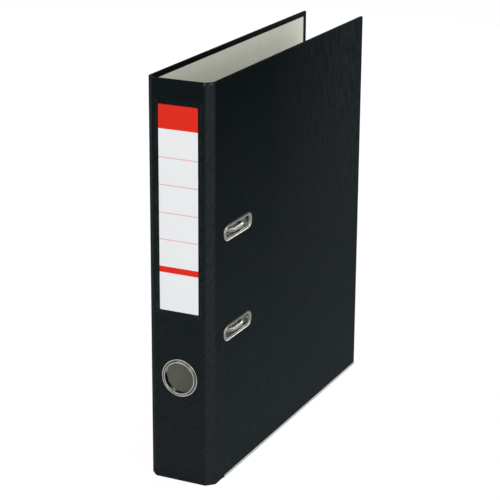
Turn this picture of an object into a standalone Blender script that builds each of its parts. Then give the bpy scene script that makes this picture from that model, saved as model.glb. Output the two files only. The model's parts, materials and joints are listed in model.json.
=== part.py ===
"""A4 lever arch file of 50 mm nominal width, closed and standing on its bottom edge.

Sizes are in metres. +Z is up, the spine faces -Y, the front cover is on +X and the back cover
on -X. The origin lies under the middle of the file, on the surface that it stands on.
"""

import math

import bmesh
import bpy
from mathutils import Vector

# Case: outside sizes of the covered boards, and how far each hinge strip cuts the corner
CASE_HEIGHT = 0.3175
CASE_DEPTH = 0.285
CASE_WIDTH = 0.055
HINGE_CHAMFER = 0.006

# Layers of every panel, from the outside in
WRAP_THICKNESS = 0.00025
BOARD_THICKNESS = 0.0019
LINING_THICKNESS = 0.0002
GLUE_LINE = 0.00005
FORE_TURN_IN = 0.0065
END_TURN_IN = 0.0039
LINING_GAP = 0.0001
CREASE_GAP = 0.0003

# Clearances
SEAT_GAP = 0.00005
HOLE_CLEARANCE = 0.0002
RUNNING_GAP = 0.0003

# Metal rails on the bottom edges of the covers
RAIL_SHEET = 0.0004
RAIL_LEG = 0.0018
RAIL_SETBACK = 0.0205
RAIL_END_INSET = 0.0004

# Label card in its clear pocket on the spine
LABEL_SIDE_MARGIN = 0.00525
LABEL_HEIGHT = 0.159
LABEL_TOP_MARGIN = 0.019
LABEL_CARD = 0.00015
POCKET_FILM = 0.00015
POCKET_BORDER = 0.0036
POCKET_PLAY = 0.0004
THUMB_CUT_WIDTH = 0.019

# Finger ring in the spine
RING_CENTRE_HEIGHT = 0.0865
RING_BORE_RADIUS = 0.0121
RING_FLANGE = 0.003
RING_INNER_FLANGE = 0.0022
RING_PROUD = 0.0015
RING_CREST = 0.0012
RING_RIM = 0.0005
EYELET_SHEET = 0.0005

# Eyelets of the two slots in the front cover
SLOT_LENGTH = 0.040
SLOT_HEIGHT = 0.0080
SLOT_CORNER = 0.0036
SLOT_LEAD = 0.001
SLOT_END_FLANGE = 0.0038
SLOT_SIDE_FLANGE = 0.0026
SLOT_INNER_FLANGE = 0.0016
SLOT_PROUD = 0.0009

# Arch wire: spacing of the punched holes, wire, and the two arches
HOLE_PITCH = 0.080
WIRE_RADIUS = 0.002
WIRE_BEND = 0.004
SHAFT_SETBACK = 0.0275
ARCH_SPAN = 0.029
ARCH_BEND = 0.011
ARCH_PROUD = 0.0025
TIP_RADIUS = 0.0016
TIP_LENGTH = 0.008
TIP_CLEARANCE = 0.0005
CRANK_REACH = 0.010
CRANK_BEHIND_LEVER = 0.008
CRANK_BEFORE_LEVER = 0.013

# Base plate with bearing eyes and lever ears
PLATE_THICKNESS = 0.001
PLATE_SPINE_EDGE = 0.008
PLATE_POST_EDGE = 0.007
PLATE_END_EDGE = 0.018
PLATE_CORNER = 0.005
EYE_WIDTH = 0.006
EYE_WALL = 0.001
EYE_END_GAP = 0.0005
EAR_SHEET = 0.0015
EAR_RADIUS = 0.0034
EAR_FOOT = 0.0045

# Posts that the arch tips close on
POST_RADIUS = 0.00275
POST_BORE = 0.0021
POST_HEIGHT = 0.029
POST_SHANK_RADIUS = 0.0017

# Lever and its pin
LEVER_SHEET = 0.0012
LEVER_INNER_WIDTH = 0.0084
LEVER_LENGTH = 0.053
LEVER_WAIST = 0.0086
LEVER_TAB_WIDTH = 0.0124
LEVER_TAB_RISE = 0.003
LEVER_CHEEK_LENGTH = 0.018
LEVER_CHEEK_RADIUS = 0.0032
LEVER_WEB_RISE = 0.0027
LEVER_CHEEK_BLEND = 65
PIN_RADIUS = 0.0015
PIN_HEAD_RADIUS = 0.0026
PIN_HEAD_HEIGHT = 0.0008

# Roller that presses on the crank
ROLLER_GROOVE_RADIUS = 0.0034
ROLLER_RIM_RADIUS = 0.0042
ROLLER_WIDTH = 0.0074
ROLLER_RIM_WIDTH = 0.0013
ROLLER_REST_GAP = 0.00125
ROLLER_PIN_RADIUS = 0.0013

# Leaf spring under the crank, and its rivet
SPRING_SHEET = 0.0004
SPRING_WIDTH = 0.006
SPRING_LENGTH = 0.031
SPRING_RIVET_RADIUS = 0.0012
SPRING_RIVET_HEAD = 0.0023
SPRING_RIVET_HEAD_HEIGHT = 0.0007
SPRING_RIVET_INSET = 0.004

# Rivets that hold the base plate on the back cover
RIVET_RADIUS = 0.0019
RIVET_OUTER_HEAD = 0.0045
RIVET_INNER_HEAD = 0.0032
RIVET_HEAD_HEIGHT = 0.0009
RIVET_END_INSET = 0.006
RIVET_SIDE_INSET = 0.012

# Facets
ROUND_STEPS = 24
RING_STEPS = 48
CREST_STEPS = 4
CORNER_STEPS = 8
BEND_STEPS = 6
SHARP_EDGE_ANGLE = math.radians(35)
WIRE_STEPS = 2

# Places worked out from the sizes above
RIGHT_ANGLE = math.radians(90)
CREASE_ANGLE = RIGHT_ANGLE / 2
MITRE = math.tan(CREASE_ANGLE / 2)
PANEL = WRAP_THICKNESS + GLUE_LINE + BOARD_THICKNESS + GLUE_LINE + LINING_THICKNESS
BOARD_FACE = WRAP_THICKNESS + GLUE_LINE
LINING_FACE = PANEL - LINING_THICKNESS
FLOOR_GAP = RAIL_SHEET + SEAT_GAP
CASE_TOP = FLOOR_GAP + CASE_HEIGHT
MID_HEIGHT = FLOOR_GAP + CASE_HEIGHT / 2
HINGE_LENGTH = HINGE_CHAMFER * math.sqrt(2)
SPINE_LENGTH = CASE_WIDTH - 2 * HINGE_CHAMFER
LABEL_WIDTH = SPINE_LENGTH - 2 * LABEL_SIDE_MARGIN
COVER_LENGTH = CASE_DEPTH - HINGE_CHAMFER
RING_HOLE = RING_BORE_RADIUS + EYELET_SHEET + HOLE_CLEARANCE
SLOT_SETBACK = SHAFT_SETBACK + ARCH_SPAN / 2 + SLOT_LEAD
INSIDE_WIDTH = CASE_WIDTH - 2 * PANEL - SEAT_GAP
SHAFT_HEIGHT = PLATE_THICKNESS + RUNNING_GAP + SPRING_SHEET + RUNNING_GAP + WIRE_RADIUS
ARCH_TOP = INSIDE_WIDTH + PANEL + ARCH_PROUD - WIRE_RADIUS
POST_TOP = PLATE_THICKNESS + POST_HEIGHT
TIP_END = POST_TOP - TIP_LENGTH
POST_BORE_FLOOR = TIP_END - TIP_CLEARANCE
PLATE_HALF_LENGTH = HOLE_PITCH / 2 + PLATE_END_EDGE
EYE_CENTRE = HOLE_PITCH / 2 - WIRE_BEND - EYE_END_GAP - EYE_WIDTH / 2
CRANK_LOW = -(EYE_CENTRE - EYE_WIDTH / 2 - EYE_END_GAP - WIRE_BEND)
LEVER_PIVOT_Z = CRANK_LOW + CRANK_BEHIND_LEVER
CRANK_HIGH = LEVER_PIVOT_Z + CRANK_BEFORE_LEVER
ROLLER_HEIGHT = SHAFT_HEIGHT + WIRE_RADIUS + ROLLER_REST_GAP + ROLLER_GROOVE_RADIUS
ROLLER_DROP = ROLLER_RIM_RADIUS + RUNNING_GAP + PIN_RADIUS
LEVER_PIVOT_HEIGHT = ROLLER_HEIGHT + ROLLER_DROP
LEVER_HALF_WIDTH = LEVER_INNER_WIDTH / 2 + LEVER_SHEET
EAR_INNER = LEVER_HALF_WIDTH + RUNNING_GAP
EAR_OUTER = EAR_INNER + EAR_SHEET
PIN_HOLE = PIN_RADIUS + HOLE_CLEARANCE
ROLLER_PIN_HOLE = ROLLER_PIN_RADIUS + HOLE_CLEARANCE
SPRING_LOW = PLATE_THICKNESS + RUNNING_GAP
SPRING_RIVET_Z = LEVER_PIVOT_Z + SPRING_LENGTH - SPRING_RIVET_INSET
CUT_PAST = 0.002


def clear_scene():
    for old in list(bpy.data.objects):
        bpy.data.objects.remove(old, do_unlink=True)


def material(name, colour, roughness, metallic=0.0):
    made = bpy.data.materials.get(name)
    if made:
        return made
    made = bpy.data.materials.new(name)
    made.use_nodes = True
    shader = made.node_tree.nodes["Principled BSDF"]
    shader.inputs["Base Color"].default_value = (*colour, 1.0)
    shader.inputs["Roughness"].default_value = roughness
    shader.inputs["Metallic"].default_value = metallic
    made.diffuse_color = (*colour, 1.0)
    return made


def black_paper():
    return material("black_paper", (0.012, 0.015, 0.016), 0.38)


def grey_paper():
    return material("grey_paper", (0.40, 0.40, 0.34), 0.75)


def greyboard():
    return material("greyboard", (0.30, 0.28, 0.25), 0.9)


def label_paper():
    return material("label_paper", (0.82, 0.83, 0.84), 0.6)


def clear_film():
    return material("clear_film", (0.85, 0.87, 0.88), 0.12)


def nickel():
    return material("nickel", (0.72, 0.71, 0.68), 0.2, 1.0)


def rail_metal():
    return material("rail_metal", (0.66, 0.67, 0.66), 0.4, 1.0)


def roller_plastic():
    return material("roller_plastic", (0.75, 0.74, 0.70), 0.5)


def frame(name, parent=None, location=(0, 0, 0), turn=0.0):
    """An empty that carries the pieces of one moving group, on the axis that the group turns about."""
    empty = bpy.data.objects.new(name, None)
    empty.empty_display_size = 0.02
    empty.parent = parent
    empty.location = location
    empty.rotation_euler = (0, 0, turn)
    bpy.context.scene.collection.objects.link(empty)
    return empty


def solid(bm, name="tool"):
    """Turns a bmesh into an object, with its faces pointing out."""
    bmesh.ops.recalc_face_normals(bm, faces=bm.faces)
    mesh = bpy.data.meshes.new(name)
    bm.to_mesh(mesh)
    bm.free()
    made = bpy.data.objects.new(name, mesh)
    bpy.context.scene.collection.objects.link(made)
    return made


def combine(target, tools, operation):
    """Applies an exact Boolean with each tool in turn, and removes the tools."""
    for tool in tools:
        change = target.modifiers.new("combine", "BOOLEAN")
        change.operation = operation
        change.solver = "EXACT"
        change.object = tool
        graph = bpy.context.evaluated_depsgraph_get()
        result = bpy.data.meshes.new_from_object(target.evaluated_get(graph))
        target.modifiers.clear()
        old = target.data
        target.data = result
        bpy.data.meshes.remove(old)
        bpy.data.objects.remove(tool, do_unlink=True)
    return target


def cut(target, tools):
    return combine(target, tools, "DIFFERENCE")


def join(target, tools):
    return combine(target, tools, "UNION")


def place(piece, name, finish, parent, location=(0, 0, 0)):
    """Names a finished piece, gives it its material and hangs it on its frame."""
    piece.name = name
    piece.data.name = name
    piece.data.materials.clear()
    piece.data.materials.append(finish)
    if piece.type == "MESH":
        piece.data.shade_smooth()
        piece.data.set_sharp_from_angle(angle=SHARP_EDGE_ANGLE)
    piece.parent = parent
    piece.location = location
    return piece


def loft(loops, closed=False):
    """A solid through loops of equally many points: capped at both ends, or closed on itself."""
    bm = bmesh.new()
    rings = [[bm.verts.new(point) for point in loop] for loop in loops]
    pairs = list(zip(rings, rings[1:]))
    if closed:
        pairs.append((rings[-1], rings[0]))
    else:
        bm.faces.new(rings[0])
        bm.faces.new(rings[-1])
    for low, high in pairs:
        count = len(low)
        for i in range(count):
            after = (i + 1) % count
            bm.faces.new((low[i], low[after], high[after], high[i]))
    return solid(bm)


def block(low, high):
    corners = ((low[0], low[1]), (high[0], low[1]), (high[0], high[1]), (low[0], high[1]))
    return loft([[(x, y, z) for x, y in corners] for z in (low[2], high[2])])


def along_z(outline, low, high):
    """An outline of (x, y) points, from z low to z high."""
    return loft([[(x, y, z) for x, y in outline] for z in (low, high)])


def along_y(outline, low, high):
    """An outline of (x, z) points, from y low to y high."""
    return loft([[(x, y, z) for x, z in outline] for y in (low, high)])


def along_x(outline, low, high):
    """An outline of (y, z) points, from x low to x high."""
    return loft([[(x, y, z) for y, z in outline] for x in (low, high)])


def arc(centre, radius, start, end, steps):
    """Points on an arc, from the start angle to the end angle, in degrees."""
    angles = [math.radians(start + (end - start) * i / steps) for i in range(steps + 1)]
    return [(centre[0] + radius * math.cos(a), centre[1] + radius * math.sin(a)) for a in angles]


def circle(radius, centre=(0, 0), steps=ROUND_STEPS):
    return arc(centre, radius, 0, 360, steps)[:-1]


def rounded(half_width, half_height, radius, centre=(0, 0), steps=CORNER_STEPS):
    """A rectangle with round corners."""
    inset_x = half_width - radius
    inset_y = half_height - radius
    points = []
    for quarter, (sign_x, sign_y) in enumerate(((1, 1), (-1, 1), (-1, -1), (1, -1))):
        middle = (centre[0] + sign_x * inset_x, centre[1] + sign_y * inset_y)
        points += arc(middle, radius, 90 * quarter, 90 * quarter + 90, steps)
    return points


def turned(profile, axis, steps=ROUND_STEPS):
    """A turned piece from (radius, place along the axis) pairs, about the x or the y axis."""
    loops = []
    for radius, along in profile:
        ring = circle(radius, steps=steps)
        if axis == "x":
            loops.append([(along, a, b) for a, b in ring])
        else:
            loops.append([(a, along, b) for a, b in ring])
    return loft(loops)


def panel_outline(start, end, near, far, start_creased, end_creased):
    """One layer of a panel, seen from above, mitred where it meets a crease."""

    def lead(depth, creased):
        return CREASE_GAP / 2 + depth * MITRE if creased else 0.0

    return [
        (start + lead(near, start_creased), near),
        (end - lead(near, end_creased), near),
        (end - lead(far, end_creased), far),
        (start + lead(far, start_creased), far),
    ]


def panel(name, parent, start, end, start_creased=True, end_creased=True, holes=()):
    """Board, wrap and lining of one panel. x runs along the panel, y inwards from its outer face.

    Each hole is an outline in x and z that goes through all three layers. Layers and pockets are
    set back from the free fore-edge and from both ends.
    """

    def edge(inset):
        low = start if start_creased else start + inset
        high = end if end_creased else end - inset
        return low, high

    def layer(fore, ends, near, far):
        low, high = edge(fore)
        outline = panel_outline(low, high, near, far, start_creased, end_creased)
        made = along_z(outline, FLOOR_GAP + ends, CASE_TOP - ends)
        return cut(made, [along_y(hole, near - CUT_PAST, far + CUT_PAST) for hole in holes])

    def pocket(fore, ends, near, far):
        low, high = edge(fore)
        low -= CUT_PAST if start_creased else 0.0
        high += CUT_PAST if end_creased else 0.0
        return block((low, near, FLOOR_GAP + ends), (high, far, CASE_TOP - ends))

    board = layer(BOARD_FACE, BOARD_FACE, BOARD_FACE, BOARD_FACE + BOARD_THICKNESS)
    place(board, f"{name}_board", greyboard(), parent)
    lining = layer(FORE_TURN_IN + LINING_GAP, END_TURN_IN + LINING_GAP, LINING_FACE, PANEL)
    place(lining, f"{name}_lining", grey_paper(), parent)
    wrap = layer(0.0, 0.0, 0.0, PANEL)
    cut(wrap, [pocket(WRAP_THICKNESS, WRAP_THICKNESS, WRAP_THICKNESS, LINING_FACE)])
    cut(wrap, [pocket(FORE_TURN_IN, END_TURN_IN, LINING_FACE - GLUE_LINE, PANEL + CUT_PAST)])
    place(wrap, f"{name}_wrap", black_paper(), parent)


def slot_outline(growth_x, growth_z, centre):
    return rounded(
        SLOT_LENGTH / 2 + growth_x,
        SLOT_HEIGHT / 2 + growth_z,
        SLOT_CORNER + min(growth_x, growth_z),
        centre,
    )


def slot_centres():
    """Middles of the two slots on the front cover's panel."""
    along = SLOT_SETBACK - HINGE_CHAMFER
    return {
        "upper": (along, MID_HEIGHT + HOLE_PITCH / 2),
        "lower": (along, MID_HEIGHT - HOLE_PITCH / 2),
    }


def rivet_places():
    """(y, z) of the four rivets on the base plate."""
    far = PLATE_HALF_LENGTH - RIVET_END_INSET
    low = RIVET_SIDE_INSET - PLATE_SPINE_EDGE
    high = ARCH_SPAN + PLATE_POST_EDGE - RIVET_SIDE_INSET
    return [(y, z) for z in (-far, far) for y in (low, high)]


def build_panels():
    """The five panels, each hung on the one before it at its crease. Returns their frames."""
    corner = (-CASE_WIDTH / 2, HINGE_CHAMFER - CASE_DEPTH / 2, 0)
    back = frame("back_cover_frame", None, corner, -RIGHT_ANGLE)
    back_hinge = frame("back_hinge_frame", back, (0, 0, 0), CREASE_ANGLE)
    spine = frame("spine_frame", back_hinge, (HINGE_LENGTH, 0, 0), CREASE_ANGLE)
    front_hinge = frame("front_hinge_frame", spine, (SPINE_LENGTH, 0, 0), CREASE_ANGLE)
    front = frame("front_cover_frame", front_hinge, (HINGE_LENGTH, 0, 0), CREASE_ANGLE)

    shaft = HINGE_CHAMFER - SHAFT_SETBACK
    rivet_hole = RIVET_RADIUS + HOLE_CLEARANCE
    rivet_holes = [circle(rivet_hole, (shaft - y, MID_HEIGHT + z)) for y, z in rivet_places()]
    panel("back_cover", back, -COVER_LENGTH, 0.0, start_creased=False, holes=rivet_holes)
    panel("back_hinge", back_hinge, 0.0, HINGE_LENGTH)
    ring_hole = circle(RING_HOLE, (SPINE_LENGTH / 2, RING_CENTRE_HEIGHT), RING_STEPS)
    panel("spine", spine, 0.0, SPINE_LENGTH, holes=[ring_hole])
    panel("front_hinge", front_hinge, 0.0, HINGE_LENGTH)
    growth = EYELET_SHEET + HOLE_CLEARANCE
    slot_holes = [slot_outline(growth, growth, centre) for centre in slot_centres().values()]
    panel("front_cover", front, 0.0, COVER_LENGTH, end_creased=False, holes=slot_holes)
    return {"back": back, "spine": spine, "front": front}


def build_rail(name, parent, start, end):
    """A folded rail round the bottom edge of a cover."""
    outside = -SEAT_GAP - RAIL_SHEET
    inside = PANEL + SEAT_GAP + RAIL_SHEET
    rail = block((start, outside, 0.0), (end, inside, FLOOR_GAP + RAIL_LEG))
    channel = block(
        (start - CUT_PAST, outside + RAIL_SHEET, RAIL_SHEET),
        (end + CUT_PAST, inside - RAIL_SHEET, FLOOR_GAP + RAIL_LEG + CUT_PAST),
    )
    place(cut(rail, [channel]), name, rail_metal(), parent)


def build_label(parent):
    """The card, and the clear pocket that is open at a thumb cut in its bottom edge."""
    middle = SPINE_LENGTH / 2
    top = CASE_TOP - LABEL_TOP_MARGIN
    bottom = top - LABEL_HEIGHT
    card_face = -SEAT_GAP - LABEL_CARD
    card = block(
        (middle - LABEL_WIDTH / 2, card_face, bottom),
        (middle + LABEL_WIDTH / 2, -SEAT_GAP, top),
    )
    place(card, "label_card", label_paper(), parent)

    film_inside = card_face - SEAT_GAP
    half = LABEL_WIDTH / 2 + POCKET_BORDER
    film = block(
        (middle - half, film_inside - POCKET_FILM, bottom - POCKET_BORDER),
        (middle + half, -SEAT_GAP, top + POCKET_BORDER),
    )
    room = LABEL_WIDTH / 2 + POCKET_PLAY
    space = block(
        (middle - room, film_inside, bottom - POCKET_PLAY),
        (middle + room, CUT_PAST, top + POCKET_PLAY),
    )
    thumb = THUMB_CUT_WIDTH / 2
    thumb_cut = block(
        (middle - thumb, film_inside - POCKET_FILM - CUT_PAST, bottom - POCKET_BORDER - CUT_PAST),
        (middle + thumb, CUT_PAST, bottom - SEAT_GAP),
    )
    place(cut(film, [space, thumb_cut]), "label_pocket", clear_film(), parent)


def clinched_end(inner_flange):
    """Inside end of an eyelet, rolled over the panel: (growth out from the opening, depth) points."""
    back_face = PANEL + SEAT_GAP
    return [
        (EYELET_SHEET, -SEAT_GAP),
        (EYELET_SHEET, back_face),
        (inner_flange, back_face),
        (inner_flange, back_face + EYELET_SHEET),
        (0.0, back_face + EYELET_SHEET),
    ]


def build_finger_ring(parent):
    """A ring with a round crest about the bore and a lower rim outside it."""
    centre = (SPINE_LENGTH / 2, RING_CENTRE_HEIGHT)
    roll = RING_CREST / 2
    section = arc((roll, roll - RING_PROUD), roll, 180, 360, CREST_STEPS)
    section += [
        (RING_CREST, -RING_RIM),
        (RING_FLANGE - RING_RIM, -RING_RIM),
        (RING_FLANGE, -RING_RIM / 2),
        (RING_FLANGE, -SEAT_GAP),
    ]
    loops = []
    for growth, depth in section + clinched_end(RING_INNER_FLANGE):
        ring = circle(RING_BORE_RADIUS + growth, centre, RING_STEPS)
        loops.append([(x, depth, z) for x, z in ring])
    place(loft(loops, closed=True), "finger_ring", nickel(), parent)


def build_slot_eyelets(parent):
    """Long eyelets with a flat flange, wider at the ends than along the sides."""
    widening = SLOT_END_FLANGE / SLOT_SIDE_FLANGE
    section = [
        (0.0, -SLOT_PROUD / 2),
        (EYELET_SHEET, -SLOT_PROUD),
        (SLOT_SIDE_FLANGE - EYELET_SHEET, -SLOT_PROUD),
        (SLOT_SIDE_FLANGE, -SLOT_PROUD / 2),
        (SLOT_SIDE_FLANGE, -SEAT_GAP),
    ]
    for which, centre in slot_centres().items():
        loops = []
        for growth, depth in section + clinched_end(SLOT_INNER_FLANGE):
            wide = growth * widening if growth > EYELET_SHEET else growth
            outline = slot_outline(wide, growth, centre)
            loops.append([(x, depth, z) for x, z in outline])
        place(loft(loops, closed=True), f"slot_eyelet_{which}", nickel(), parent)


def build_base_plate(parent):
    """Flat plate with two bearing eyes for the shaft and two ears for the lever."""
    middle = (ARCH_SPAN + PLATE_POST_EDGE - PLATE_SPINE_EDGE) / 2
    half_width = (ARCH_SPAN + PLATE_POST_EDGE + PLATE_SPINE_EDGE) / 2
    outline = rounded(half_width, PLATE_HALF_LENGTH, PLATE_CORNER, (middle, 0))
    plate = along_x(outline, 0.0, PLATE_THICKNESS)
    sunk = PLATE_THICKNESS / 2

    eye_outer = WIRE_RADIUS + RUNNING_GAP + EYE_WALL
    shape = [(sunk, eye_outer), (sunk, -eye_outer)]
    shape += arc((SHAFT_HEIGHT, 0), eye_outer, -90, 90, 2 * CORNER_STEPS)
    eyes = [
        along_z(shape, z - EYE_WIDTH / 2, z + EYE_WIDTH / 2) for z in (-EYE_CENTRE, EYE_CENTRE)
    ]
    join(plate, eyes)
    bore = circle(WIRE_RADIUS + RUNNING_GAP, (SHAFT_HEIGHT, 0))
    cut(plate, [along_z(bore, -PLATE_HALF_LENGTH, PLATE_HALF_LENGTH)])

    ear = [(sunk, LEVER_PIVOT_Z + EAR_FOOT), (sunk, LEVER_PIVOT_Z - EAR_FOOT)]
    ear += arc((LEVER_PIVOT_HEIGHT, LEVER_PIVOT_Z), EAR_RADIUS, -90, 90, 2 * CORNER_STEPS)
    ears = [
        along_y(ear, CRANK_REACH - EAR_OUTER, CRANK_REACH - EAR_INNER),
        along_y(ear, CRANK_REACH + EAR_INNER, CRANK_REACH + EAR_OUTER),
    ]
    join(plate, ears)
    pin_hole = circle(PIN_HOLE, (LEVER_PIVOT_HEIGHT, LEVER_PIVOT_Z))
    past = EAR_OUTER + CUT_PAST
    cut(plate, [along_y(pin_hole, CRANK_REACH - past, CRANK_REACH + past)])

    holes = [circle(RIVET_RADIUS + HOLE_CLEARANCE, spot) for spot in rivet_places()]
    post_hole = POST_SHANK_RADIUS + HOLE_CLEARANCE
    holes += [circle(post_hole, (ARCH_SPAN, z)) for z in (-HOLE_PITCH / 2, HOLE_PITCH / 2)]
    holes.append(circle(SPRING_RIVET_RADIUS + HOLE_CLEARANCE, (CRANK_REACH, SPRING_RIVET_Z)))
    cut(plate, [along_x(hole, -CUT_PAST, PLATE_THICKNESS + CUT_PAST) for hole in holes])
    place(plate, "base_plate", nickel(), parent)


def build_posts(parent):
    """Fixed posts: a solid stem with a half pipe at its top, open towards the spine."""
    for which, z in (("upper", HOLE_PITCH / 2), ("lower", -HOLE_PITCH / 2)):
        seat = PLATE_THICKNESS + SEAT_GAP
        post = turned(
            [
                (POST_SHANK_RADIUS, SEAT_GAP),
                (POST_SHANK_RADIUS, seat),
                (POST_RADIUS, seat),
                (POST_RADIUS, POST_TOP),
            ],
            "x",
        )
        bore = turned([(POST_BORE, POST_BORE_FLOOR), (POST_BORE, POST_TOP + CUT_PAST)], "x")
        open_side = block(
            (POST_BORE_FLOOR, -POST_RADIUS - CUT_PAST, -POST_RADIUS - CUT_PAST),
            (POST_TOP + CUT_PAST, -HOLE_CLEARANCE, POST_RADIUS + CUT_PAST),
        )
        place(cut(post, [bore, open_side]), f"post_{which}", nickel(), parent, (0, ARCH_SPAN, z))


def filleted(corners):
    """Points along straight runs between the corners, each rounded to its radius."""
    points = [Vector(corners[0][0])]
    for (before, _), (corner, radius), (after, _) in zip(corners, corners[1:], corners[2:]):
        corner = Vector(corner)
        way_in = (Vector(before) - corner).normalized()
        way_out = (Vector(after) - corner).normalized()
        centre = corner + radius * (way_in + way_out)
        for i in range(BEND_STEPS + 1):
            turn = RIGHT_ANGLE * i / BEND_STEPS
            points.append(centre - radius * (way_out * math.cos(turn) + way_in * math.sin(turn)))
    points.append(Vector(corners[-1][0]))
    return points


def build_arch_wire(parent):
    """One wire: arch, shaft, crank, shaft and arch, about the shaft's axis."""
    half = HOLE_PITCH / 2
    top = ARCH_TOP - SHAFT_HEIGHT
    tip = TIP_END - SHAFT_HEIGHT
    corners = [
        ((tip, ARCH_SPAN, half), 0.0),
        ((top, ARCH_SPAN, half), ARCH_BEND),
        ((top, 0, half), ARCH_BEND),
        ((0, 0, half), WIRE_BEND),
        ((0, 0, CRANK_HIGH), WIRE_BEND),
        ((0, CRANK_REACH, CRANK_HIGH), WIRE_BEND),
        ((0, CRANK_REACH, CRANK_LOW), WIRE_BEND),
        ((0, 0, CRANK_LOW), WIRE_BEND),
        ((0, 0, -half), WIRE_BEND),
        ((top, 0, -half), ARCH_BEND),
        ((top, ARCH_SPAN, -half), ARCH_BEND),
        ((tip, ARCH_SPAN, -half), 0.0),
    ]
    path = filleted(corners)
    shoulder = Vector((tip + TIP_LENGTH, ARCH_SPAN, half))
    drop = Vector((WIRE_RADIUS, 0, 0))
    thin = TIP_RADIUS / WIRE_RADIUS
    mirrored = Vector((1, 1, -1))
    first = [path[0], shoulder, shoulder + drop]
    last = [point * mirrored for point in reversed(first)]
    places = first + path[1:-1] + last
    sizes = [thin, thin, 1.0] + [1.0] * (len(path) - 2) + [1.0, thin, thin]
    curve = bpy.data.curves.new("arch_wire", "CURVE")
    curve.dimensions = "3D"
    curve.bevel_depth = WIRE_RADIUS
    curve.bevel_resolution = WIRE_STEPS
    curve.use_fill_caps = True
    spline = curve.splines.new("POLY")
    spline.points.add(len(places) - 1)
    for spot, position, size in zip(spline.points, places, sizes):
        spot.co = (*position, 1.0)
        spot.radius = size
    wire = bpy.data.objects.new("arch_wire", curve)
    bpy.context.scene.collection.objects.link(wire)
    place(wire, "arch_wire", nickel(), parent, (SHAFT_HEIGHT, 0, 0))


def lever_stations():
    """(distance from the pivot, rise, half width) along the lever's web, to its round thumb tab."""
    tab = LEVER_TAB_WIDTH / 2
    tab_centre = LEVER_LENGTH - tab
    wide = LEVER_HALF_WIDTH
    narrow = LEVER_WAIST / 2
    neck = (LEVER_CHEEK_LENGTH + tab_centre) / 2
    stations = [(0.0, 0.0, wide), (LEVER_CHEEK_LENGTH, 0.0, wide), (neck, 0.0, narrow)]
    for i in range(CORNER_STEPS):
        angle = RIGHT_ANGLE * i / CORNER_STEPS
        along = tab_centre + tab * math.sin(angle)
        rise = LEVER_TAB_RISE * (along - neck) / (LEVER_LENGTH - neck)
        stations.append((along, rise, tab * math.cos(angle)))
    return stations


def build_lever(parent):
    """Folded lever about its pivot: a web with two cheeks, which also carry the roller's pin."""
    web_low = LEVER_WEB_RISE
    loops = []
    for along, rise, half in lever_stations():
        low = web_low + rise
        high = low + LEVER_SHEET
        corners = ((low, -half), (low, half), (high, half), (high, -half))
        loops.append([(x, y, along) for x, y in corners])
    lever = loft(loops)
    web_top = web_low + LEVER_SHEET
    radius = LEVER_CHEEK_RADIUS
    cheek = arc((-ROLLER_DROP, 0), radius, 90, 270, 2 * CORNER_STEPS)
    cheek += arc((0, 0), radius, 270, 270 + LEVER_CHEEK_BLEND, CORNER_STEPS)
    cheek += [
        (web_top - LEVER_SHEET / 2, 0.0),
        (web_top - LEVER_SHEET / 2, LEVER_CHEEK_LENGTH),
        (web_low - LEVER_SHEET, LEVER_CHEEK_LENGTH),
    ]
    inner = LEVER_INNER_WIDTH / 2
    join(lever, [along_y(cheek, -LEVER_HALF_WIDTH, -inner), along_y(cheek, inner, LEVER_HALF_WIDTH)])
    past = LEVER_HALF_WIDTH + CUT_PAST
    cut(lever, [along_y(circle(PIN_HOLE), -past, past)])
    cut(lever, [along_y(circle(ROLLER_PIN_HOLE, (-ROLLER_DROP, 0)), -past, past)])
    return place(lever, "lever", nickel(), parent, (LEVER_PIVOT_HEIGHT, CRANK_REACH, LEVER_PIVOT_Z))


def build_pins_and_roller(mechanism, lever):
    neck = EAR_OUTER + SEAT_GAP
    end = neck + PIN_HEAD_HEIGHT
    pin = turned(
        [
            (PIN_HEAD_RADIUS / 2, -end),
            (PIN_HEAD_RADIUS, -neck - PIN_HEAD_HEIGHT / 2),
            (PIN_HEAD_RADIUS, -neck),
            (PIN_RADIUS, -neck),
            (PIN_RADIUS, neck),
            (PIN_HEAD_RADIUS, neck),
            (PIN_HEAD_RADIUS, neck + PIN_HEAD_HEIGHT / 2),
            (PIN_HEAD_RADIUS / 2, end),
        ],
        "y",
    )
    place(pin, "lever_pin", nickel(), mechanism, (LEVER_PIVOT_HEIGHT, CRANK_REACH, LEVER_PIVOT_Z))

    half = LEVER_HALF_WIDTH - SEAT_GAP
    roller_pin = turned([(ROLLER_PIN_RADIUS, -half), (ROLLER_PIN_RADIUS, half)], "y")
    place(roller_pin, "roller_pin", nickel(), lever, (-ROLLER_DROP, 0, 0))

    edge = ROLLER_WIDTH / 2
    shoulder = edge - ROLLER_RIM_WIDTH
    floor = shoulder - (ROLLER_RIM_RADIUS - ROLLER_GROOVE_RADIUS)
    profile = [
        (ROLLER_RIM_RADIUS, -edge),
        (ROLLER_RIM_RADIUS, -shoulder),
        (ROLLER_GROOVE_RADIUS, -floor),
        (ROLLER_GROOVE_RADIUS, floor),
        (ROLLER_RIM_RADIUS, shoulder),
        (ROLLER_RIM_RADIUS, edge),
        (ROLLER_PIN_HOLE, edge),
        (ROLLER_PIN_HOLE, -edge),
    ]
    loops = [[(x, along, z) for x, z in circle(radius)] for radius, along in profile]
    place(loft(loops, closed=True), "roller", roller_plastic(), lever, (-ROLLER_DROP, 0, 0))


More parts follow.
